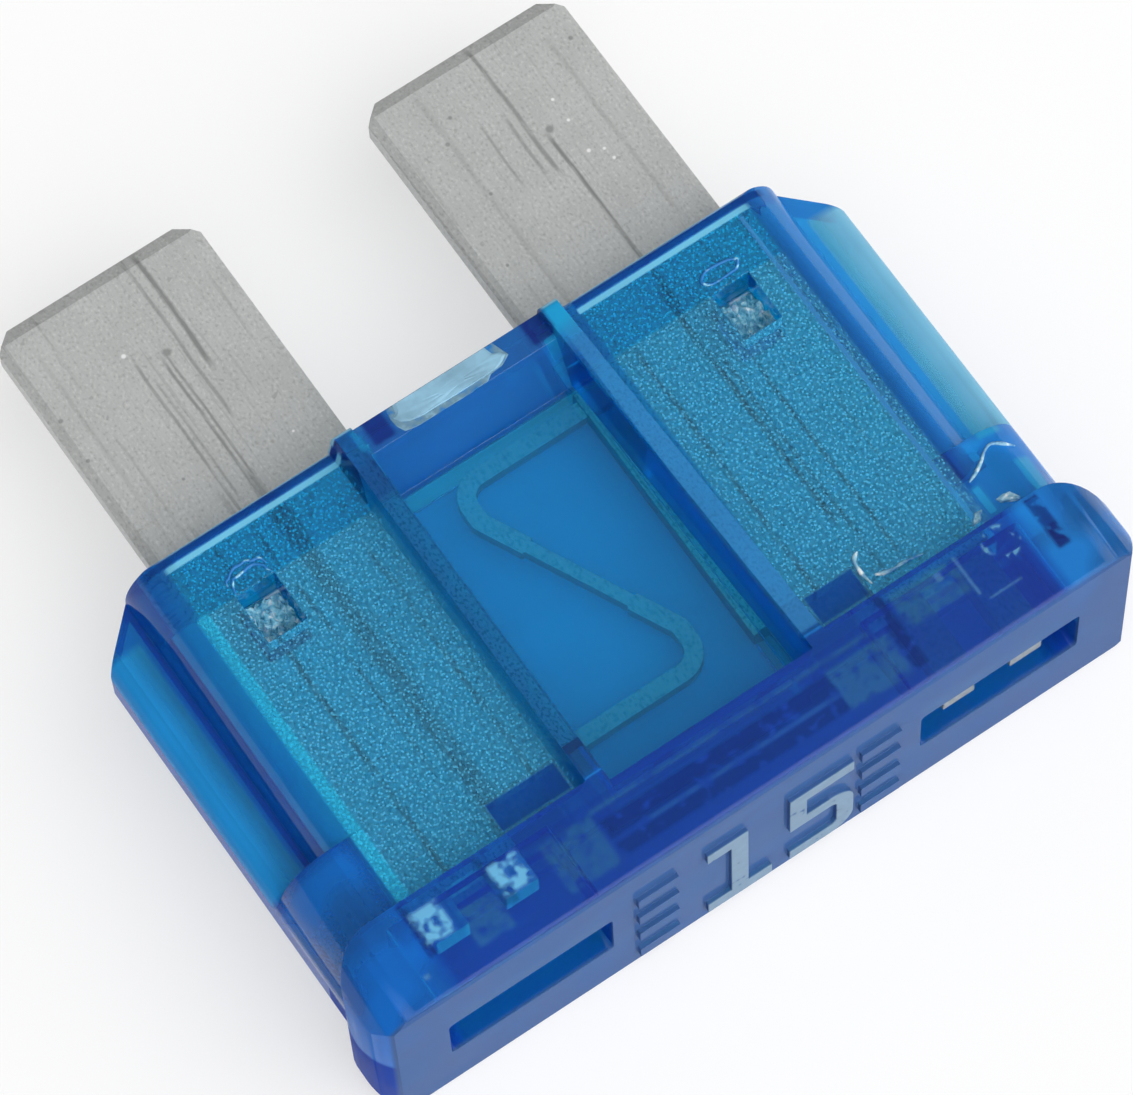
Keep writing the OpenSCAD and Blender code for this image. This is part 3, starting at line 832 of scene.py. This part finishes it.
def ridge_point(x, low, reach, number, ring, dice):
    """One point of a torn ridge past a punch mark: on a closed ring, or on an arc from side to side."""
    turn = 2 * math.pi * number / RIDGE_POINTS if ring else math.pi * (number / (RIDGE_POINTS - 1))
    height = 0.5 + 0.5 * math.sin(turn) if ring else math.sin(turn)
    across = x - 0.02 + 0.46 * math.cos(turn) + dice.uniform(-0.04, 0.04)
    along = STAKE_Y + 0.66 + low + reach * height + dice.uniform(-0.05, 0.05)
    return across, along, PANEL_TOP + dice.uniform(-0.01, 0.015)


class FUSE_OT_punch_marks(bpy.types.Operator):
    """Fill the punch marks with crushed plastic and raise the torn plastic past them"""
    bl_idname = "fuse.punch_marks"
    bl_label = "Make punch marks"

    def execute(self, context):
        marks = context.scene.fuse_marks
        crumbs = scrap_material("crushed plastic", marks.shade, marks.crushed, marks.bright, 5.0)
        torn = scrap_material("torn plastic", marks.torn, marks.torn, marks.crushed, 4.0)
        high = marks.crumb_height / MM
        for label, sign, seed in (("left", -1, 5), ("right", 1, 11)):
            dice = random.Random(seed)
            x = sign * STAKE_X
            crumb_bed(f"crushed_plastic_{label}", x, STAKE_Y - 0.05, *CRUMB_BED, PIT_FLOOR,
                      high, crumbs, dice)
            ring = sign > 0
            for number, (low, reach) in enumerate(TORN_RING if ring else TORN_ARCS, start=1):
                points = [ridge_point(x, low, reach, i, ring, dice) for i in range(RIDGE_POINTS)]
                thread(f"torn_ridge_{label}_{number}", points, marks.ridge / MM, torn, dice, closed=ring)
        return {"FINISHED"}


class FUSE_OT_gate_scar(bpy.types.Operator):
    """Put the pale scar of the gate on the cross bar"""
    bl_idname = "fuse.gate_scar"
    bl_label = "Make gate scar"

    def execute(self, context):
        marks = context.scene.fuse_marks
        dice = random.Random(3)
        scar = scrap_material(
            "gate scar", scaled(marks.gate, 0.8), marks.gate, scaled(marks.gate, 1.15), 1.2)
        skirt = scrap_material("gate skirt", marks.torn, scaled(marks.gate, 0.6), marks.gate, 2.5)
        solid_patch("gate_scar", GATE_SCAR, BAR_TOP - 0.005, 0.05, scar, dice, 0.12)
        solid_patch("gate_skirt", GATE_SKIRT, BAR_TOP - 0.01, 0.025, skirt, dice, 0.2, inset=0.03)
        return {"FINISHED"}


class FUSE_OT_flash(bpy.types.Operator):
    """Lay the thin slivers of moulding flash beside the head"""
    bl_idname = "fuse.flash"
    bl_label = "Make flash"

    def execute(self, context):
        marks = context.scene.fuse_marks
        dice = random.Random(8)
        torn = scrap_material("moulding flash", marks.torn, marks.flash, marks.bright, 4.0)
        z = PANEL_TOP + 0.02
        thread("flash_hook", [(x, y, z) for x, y in FLASH_HOOK], 0.055, torn, dice)
        bead = [(x + dice.uniform(-0.02, 0.02), y, z) for x, y in FLASH_BEAD]
        thread("flash_bead", bead, 0.06, torn, dice)
        thread("flash_crest", FLASH_CREST, 0.045, torn, dice)
        for number, outline in enumerate(FLASH_FLAKES, start=1):
            solid_patch(f"flash_flake_{number}", outline, z - 0.035, 0.06, torn, dice, 0.3, inset=0.25)
        return {"FINISHED"}


# ---- fuse element ----

def roller_marks(board, spot, across, along):
    """Dark lines that the rollers drew along the strip, a little bent and broken."""
    wander = (board.noise(spot, (0.0, 0.5, 0.0), detail=2.0) - 0.5) * 0.12
    broken = board.rise(board.noise(spot, (9.0, 0.9, 1.0), detail=2.0), 0.30, 0.50, 0.35, 1.0)
    bent = across + wander
    marks = 0.0
    for x, start, stop, half, dark in ROLL_MARKS:
        mark = board.fall((bent - x).size(), half * 0.5, half * 1.5)
        marks = (mark * board.band(along, start, stop, 0.2) * dark).most(marks)
    return marks * broken


def prong_highlights(board, across, along, side):
    """Painted highlights on the edges of the left prongs, at the four sides of the two of them."""
    sides = 0.0
    for low, high in PRONG_EDGES:
        sides = board.band(side, low, high, 0.02) + sides
    return board.band(along, 1.5, 2.28, 0.03) * board.fall(across, -3.0, -2.9) * sides.least(1.0)


def strip_material(finish):
    """Dull plated strip: rolling grain, scores, pits and roller marks, painted paler inside the plastic,
    with painted shade and highlights on the link and in the head.
    """
    material = fresh_material("plated zinc strip")
    board = Board(material)
    spot, (across, along, _) = board.place()
    flat = board.stretch(spot, (1.0, 1.0, 0.0))
    side = across.size()
    kept = board.fall(along, 11.45, 11.55)      # inside the housing

    fine = board.noise(spot, (14.0, 0.35, 3.0), detail=2.0, rough=0.6)
    grain = board.noise(spot, (16.0, 11.0, 16.0), detail=2.0)
    cloud = board.noise(spot, (1.2, 1.2, 1.2), detail=2.0)
    scores = board.rise(board.noise(spot, (7.0, 0.22, 1.0), detail=3.0, rough=0.65), 0.58, 0.68)
    scores = scores * board.rise(board.noise(spot, (2.2, 0.12, 0.5), detail=2.0), 0.45, 0.6) * 0.6
    pits = board.rise(board.noise(spot, (5.0, 5.0, 5.0), detail=1.0), 0.74, 0.78) * 0.5
    pits = pits.most(board.spots(flat, PITS))
    marks = roller_marks(board, spot, across, along)

    # the strip painted paler inside the housing, as painted light that shows through the plastic
    bright = board.tint(kept, finish.metal, finish.lit_housed_metal)
    dark = scaled(finish.metal, 0.38)
    shade = board.tint(0.22, bright, BLACK)
    colour = board.tint(board.rise(fine, 0.3, 0.7) * finish.grain * 0.7, bright, shade)
    colour = board.tint(board.rise(cloud, 0.35, 0.65) * 0.3, colour, shade)
    colour = board.tint(board.rise(grain, 0.56, 0.70) * 0.35, colour, dark)
    colour = board.tint(board.rise(1 - grain, 0.56, 0.70) * 0.25, colour, PALE_GRAIN)
    worn = (scores * 0.7).most(pits * 0.65).most(marks * (kept + 1))
    colour = board.tint(worn, colour, board.tint(kept, dark, MARK_UNDER_PLASTIC))
    colour = board.tint(board.rise(grain, 0.50, 0.62) * kept * 0.45, colour, GRAIN_UNDER_PLASTIC)
    colour = board.tint(board.spots(flat, SPECKS), colour, SPECK)

    # the link between the blades, dull on top, with painted shade down its sides
    face = board.add("NewGeometry", out="True Normal")
    level = board.add("SeparateXYZ", None, (face,), out=2).size()
    colour = board.tint(board.fall(side, 2.0, 2.12) * 0.6, colour, LINK_TOP)
    link_side_shade = board.fall(side, 2.75, 2.85) * board.fall(level, 0.5, 0.95) * kept
    colour = board.tint(link_side_shade * 0.85, colour, LINK_SIDE_SHADE)

    # inside the head: the left prongs shine, the right end lies in shade, and edges catch the light
    on_left = board.fall(across, -3.0, -2.9)
    colour = board.tint(board.fall(along, 2.25, 2.35) * on_left * 0.5, colour, WHITE)
    hidden = board.fall(along, 2.30, 2.50) * board.rise(across, -3.0, -2.9)
    colour = board.tint(hidden * 0.7, colour, IN_HEAD_SHADE)
    # a painted highlight along the left blade's outer edge under the panel
    left_edge_highlight = board.fall(across, -6.95, -6.90) * board.band(along, 2.45, 10.2, 0.05)
    prong_glints = prong_highlights(board, across, along, side)
    colour = board.tint((left_edge_highlight * (grain * 0.8 + 0.5)).most(prong_glints * 0.9).least(1.0), colour, WHITE)

    normal = board.add("Bump", None, {
        "Strength": 0.5, "Distance": 0.01 * MM, "Height": fine * 0.5 + grain * 0.35})
    metal = board.add("BsdfPrincipled", None, {
        "Base Color": colour, "Metallic": 0.5 - kept * 0.4,
        "Roughness": finish.roughness + (fine - 0.5) * 0.15 + scores * 0.12, "Normal": normal})
    board.add("OutputMaterial", None, {"Surface": metal})
    return material


class FUSE_OT_element(bpy.types.Operator):
    """Give the stamped fuse element its plated, scored metal and its soft edges"""
    bl_idname = "fuse.element"
    bl_label = "Finish fuse element"

    def execute(self, context):
        finish = context.scene.fuse_element
        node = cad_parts["fuse_element"]
        dress(node, strip_material(finish))
        soft_edges(node, finish.edge)
        return {"FINISHED"}


# ---- stage ----

def floor_piece(stage):
    """A plain pale floor, shown as white to camera, mirror and see-through rays but for its shadow."""
    half = stage.floor_size / 2
    z = CAD_BOX[0].z - FLOOR_GAP
    corners = [(-half, -half, z), (half, -half, z), (half, half, z), (-half, half, z)]
    mesh = bpy.data.meshes.new("floor")
    mesh.from_pydata(corners, [], [(0, 1, 2, 3)])
    floor = bpy.data.objects.new("floor", mesh)
    bpy.context.scene.collection.objects.link(floor)
    material = fresh_material("studio floor")
    material.cycles.emission_sampling = "NONE"    # seen directly only, so it is no lamp to sample
    board = Board(material)
    card = board.add("BsdfDiffuse", None, {"Color": rgba(stage.floor), "Roughness": 0.0})
    white = board.add("Emission", None, {"Color": (1.0, 1.0, 1.0, 1.0), "Strength": 1.0})
    seen = board.add("LightPath", out="Is Camera Ray")
    paths = seen.socket.node.outputs
    through = Wire(board, paths["Is Transmission Ray"])
    seen = seen.most(Wire(board, paths["Is Glossy Ray"])) * (1 - through) * (1 - stage.shadow)
    seen = seen + through * (1 - stage.shadow_through)
    board.add("OutputMaterial", None, {"Surface": board.add("MixShader", None, (seen, card, white))})
    mesh.materials.append(material)


def studio_sky(stage):
    world = bpy.data.worlds.new("studio sky")
    bpy.context.scene.world = world
    world.cycles.sampling_method = "NONE"         # wide and even, so that it needs no sampling
    board = Board(world)
    way = board.add("TexCoord", out="Generated")
    toward = board.add("VectorMath", {"operation": "DOT_PRODUCT"}, (way, SOFT_BOX), out="Value")
    strength = board.rise(toward, 0.45, 0.95, stage.sky, stage.soft_box)
    sky = board.add("Background", None, {"Color": (1.0, 1.0, 1.0, 1.0), "Strength": strength})
    board.add("OutputWorld", None, {"Surface": sky})


def studio_camera(stage):
    data = bpy.data.cameras.new("camera")
    data.sensor_fit = "HORIZONTAL"
    data.sensor_width = 36.0
    data.lens = stage.lens
    data.clip_start = 1.0 * MM
    data.clip_end = 100.0
    camera = bpy.data.objects.new("camera", data)
    bpy.context.scene.collection.objects.link(camera)
    az, el = stage.azimuth, stage.elevation
    back = Vector((math.sin(az) * math.cos(el), -math.cos(az) * math.cos(el), math.sin(el)))
    middle = (CAD_BOX[0] + CAD_BOX[1]) / 2
    camera.location = middle + Vector(stage.aim) + back * stage.distance
    turn = back.to_track_quat("Z", "Y").to_matrix().to_4x4()
    camera.rotation_euler = (turn @ Matrix.Rotation(stage.roll, 4, "Z")).to_euler()
    bpy.context.scene.camera = camera


class FUSE_OT_stage(bpy.types.Operator):
    """Set the floor, the soft sky and the camera"""
    bl_idname = "fuse.stage"
    bl_label = "Set the stage"

    def execute(self, context):
        stage = context.scene.fuse_stage
        floor_piece(stage)
        studio_sky(stage)
        studio_camera(stage)
        context.scene.view_settings.view_transform = "Standard"
        return {"FINISHED"}


# ---- panel ----

class FUSE_PT_panel(bpy.types.Panel):
    bl_idname = "FUSE_PT_panel"
    bl_label = "Blade Fuse"
    bl_space_type = "VIEW_3D"
    bl_region_type = "UI"
    bl_category = "Blade Fuse"

    def draw(self, context):
        for group, operators in PANEL_ROWS.items():
            box = self.layout.box()
            settings = getattr(context.scene, group)
            for name in settings.__annotations__:
                box.prop(settings, name)
            for operator in operators:
                box.operator(operator)


PANEL_ROWS = {
    "fuse_stage": ("fuse.stage",),
    "fuse_element": ("fuse.element",),
    "fuse_housing": ("fuse.housing",),
    "fuse_marks": ("fuse.punch_marks", "fuse.gate_scar", "fuse.flash"),
}
GROUPS = {"fuse_stage": FuseStage, "fuse_element": FuseElementFinish, "fuse_housing": FuseHousingFinish,
          "fuse_marks": FuseMarks}
CLASSES = (*GROUPS.values(), FUSE_OT_stage, FUSE_OT_element, FUSE_OT_housing, FUSE_OT_punch_marks,
           FUSE_OT_gate_scar, FUSE_OT_flash, FUSE_PT_panel)


def register():
    for cls in CLASSES:
        bpy.utils.register_class(cls)
    for name, group in GROUPS.items():
        setattr(bpy.types.Scene, name, bpy.props.PointerProperty(type=group))


def unregister():
    for name in GROUPS:
        delattr(bpy.types.Scene, name)
    for cls in reversed(CLASSES):
        bpy.utils.unregister_class(cls)


def main():
    register()
    for operators in PANEL_ROWS.values():
        for operator in operators:
            getattr(bpy.ops.fuse, operator.split(".")[1])()


if __name__ == "__main__":
    main()
